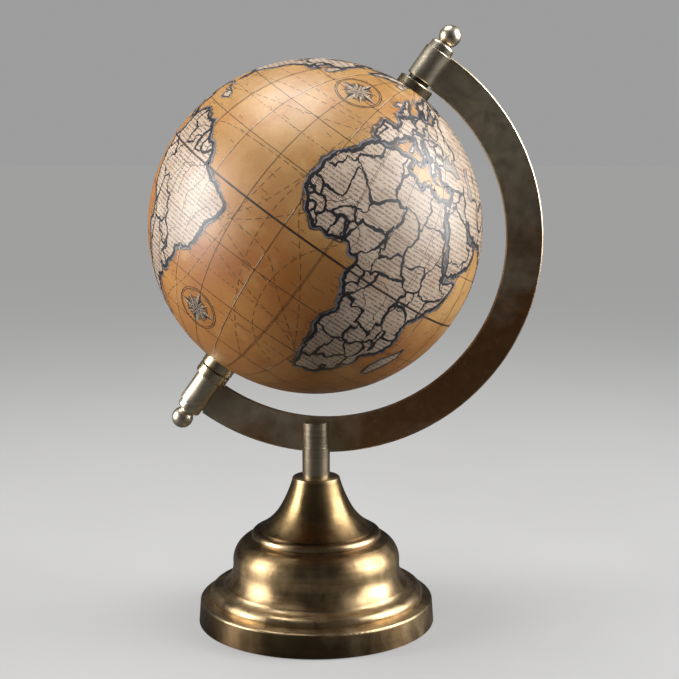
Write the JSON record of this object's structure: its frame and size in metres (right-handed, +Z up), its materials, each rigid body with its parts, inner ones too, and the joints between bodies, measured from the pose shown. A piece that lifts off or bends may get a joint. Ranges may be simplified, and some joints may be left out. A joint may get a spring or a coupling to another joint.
{
  "type": "desktop globe on stand",
  "caption": "Printed ball spinning on a tilted axle, held by a half-ring arm on a slotted stem and a spun bell foot.",
  "frame": {"origin": "centre of the felt's underside, on the table", "axes": "+Z up; the meridian arm lies in the XZ plane; the axle's north end leans towards +X"},
  "size_m": [0.1501, 0.127, 0.2307],
  "materials": {
    "foot_brass": "antiqued, satin",
    "stem_brass": "turned, satin",
    "arm_bronze": "dark patina, worn edges",
    "fitting_brass": "pale, polished",
    "washer_brass": "polished",
    "steel": "plain",
    "iron": "as cast",
    "board": "fibreboard",
    "felt": "felt",
    "ball_plastic": "moulded",
    "bushing_plastic": "moulded",
    "map_paper": "printed, varnished"
  },
  "bodies": {
    "stand": {"base_shell": "foot_brass", "neck_cone": "foot_brass", "stem_tube": "stem_brass", "stem_plug": "steel", "tie_rod": "steel", "ballast_disc": "iron", "rod_washer": "steel", "rod_nut": "steel", "base_plate": "board", "felt_pad": "felt", "meridian_arm": "arm_bronze", "upper_barrel": "fitting_brass", "lower_barrel": "fitting_brass", "axle_rod": "steel", "upper_finial": "fitting_brass", "lower_finial": "fitting_brass", "upper_spacer": "steel", "lower_washer": "washer_brass"},
    "globe": {"north_hemisphere": "ball_plastic", "south_hemisphere": "ball_plastic", "joining_band": "ball_plastic", "north_bushing": "bushing_plastic", "south_bushing": "bushing_plastic", "north_washer": "washer_brass", "south_boss": "washer_brass", "map_gores": "map_paper"}
  },
  "joints": [
    {"name": "globe_spin", "type": "hinge", "parent": "stand", "child": "globe", "pos_m": [0, 0, 0.155], "axis": [0.5764, 0, 0.8171], "continuous": true}
  ]
}
